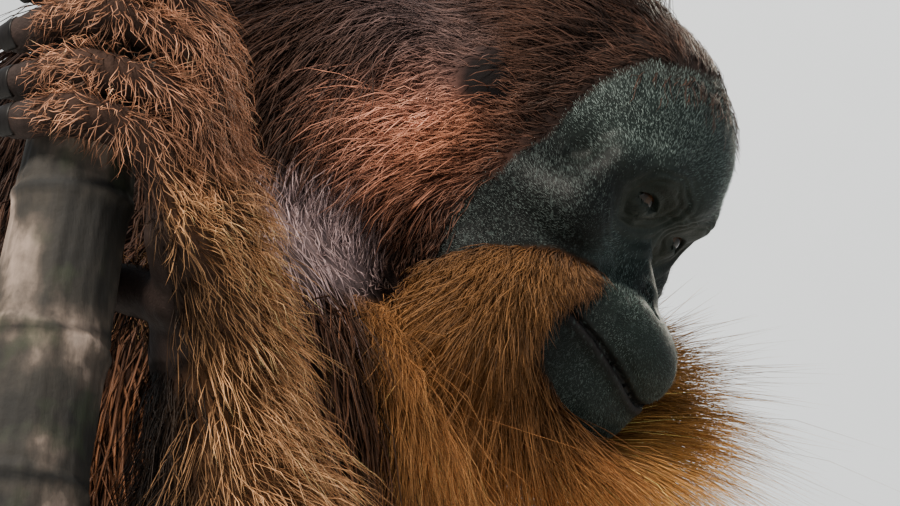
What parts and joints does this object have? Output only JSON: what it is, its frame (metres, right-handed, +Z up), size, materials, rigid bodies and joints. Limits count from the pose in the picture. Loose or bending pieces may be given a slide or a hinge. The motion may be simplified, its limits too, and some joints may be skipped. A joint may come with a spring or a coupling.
{
  "type": "orangutan life-size display model",
  "caption": "Still life-size seated orangutan with bowed head, one hand gripping a short upright stem held by a plain display stand.",
  "frame": {"origin": "centre of the stand base's flat underside, on the floor", "axes": "+Z up; +X is the way the seated animal faces; its right side and the gripped stem are towards -Y"},
  "size_m": [0.8, 0.88, 0.8045],
  "materials": {
    "red_coat": "long shaggy red-brown hair",
    "gold_coat": "golden-ochre cheek hair and beard",
    "bare_skin": "dark slate-grey bare skin, fine folds, satin",
    "eye": "wet brown eye",
    "nail": "dark polished nail",
    "stem_bark": "grey-green bark with pale peeling patches and ring marks",
    "stand_base": "dark stained plate, satin",
    "stand_rod": "brushed steel rod"
  },
  "bodies": {
    "root": {"stand_base": "stand_base", "stem": "stem_bark", "stand_rod": "stand_rod", "eye_right": "eye", "ear_right": "bare_skin", "eye_left": "eye", "ear_left": "bare_skin", "muzzle": "bare_skin", "head": "red_coat", "beard": "gold_coat", "neck": "red_coat", "trunk": "red_coat", "hand_right": "red_coat", "finger_right_index": "bare_skin", "finger_right_middle": "bare_skin", "finger_right_ring": "bare_skin", "finger_right_little": "bare_skin", "finger_right_thumb": "bare_skin", "hand_left": "red_coat", "finger_left_index": "bare_skin", "finger_left_middle": "bare_skin", "finger_left_ring": "bare_skin", "finger_left_little": "bare_skin", "finger_left_thumb": "bare_skin", "forearm_right": "red_coat", "upper_arm_right": "red_coat", "forearm_left": "red_coat", "upper_arm_left": "red_coat", "foot_right": "red_coat", "toe_right_little": "bare_skin", "toe_right_fourth": "bare_skin", "toe_right_third": "bare_skin", "toe_right_second": "bare_skin", "toe_right_great": "bare_skin", "thigh_right": "red_coat", "shank_right": "red_coat", "foot_left": "red_coat", "toe_left_little": "bare_skin", "toe_left_fourth": "bare_skin", "toe_left_third": "bare_skin", "toe_left_second": "bare_skin", "toe_left_great": "bare_skin", "thigh_left": "red_coat", "shank_left": "red_coat"}
  },
  "joints": []
}
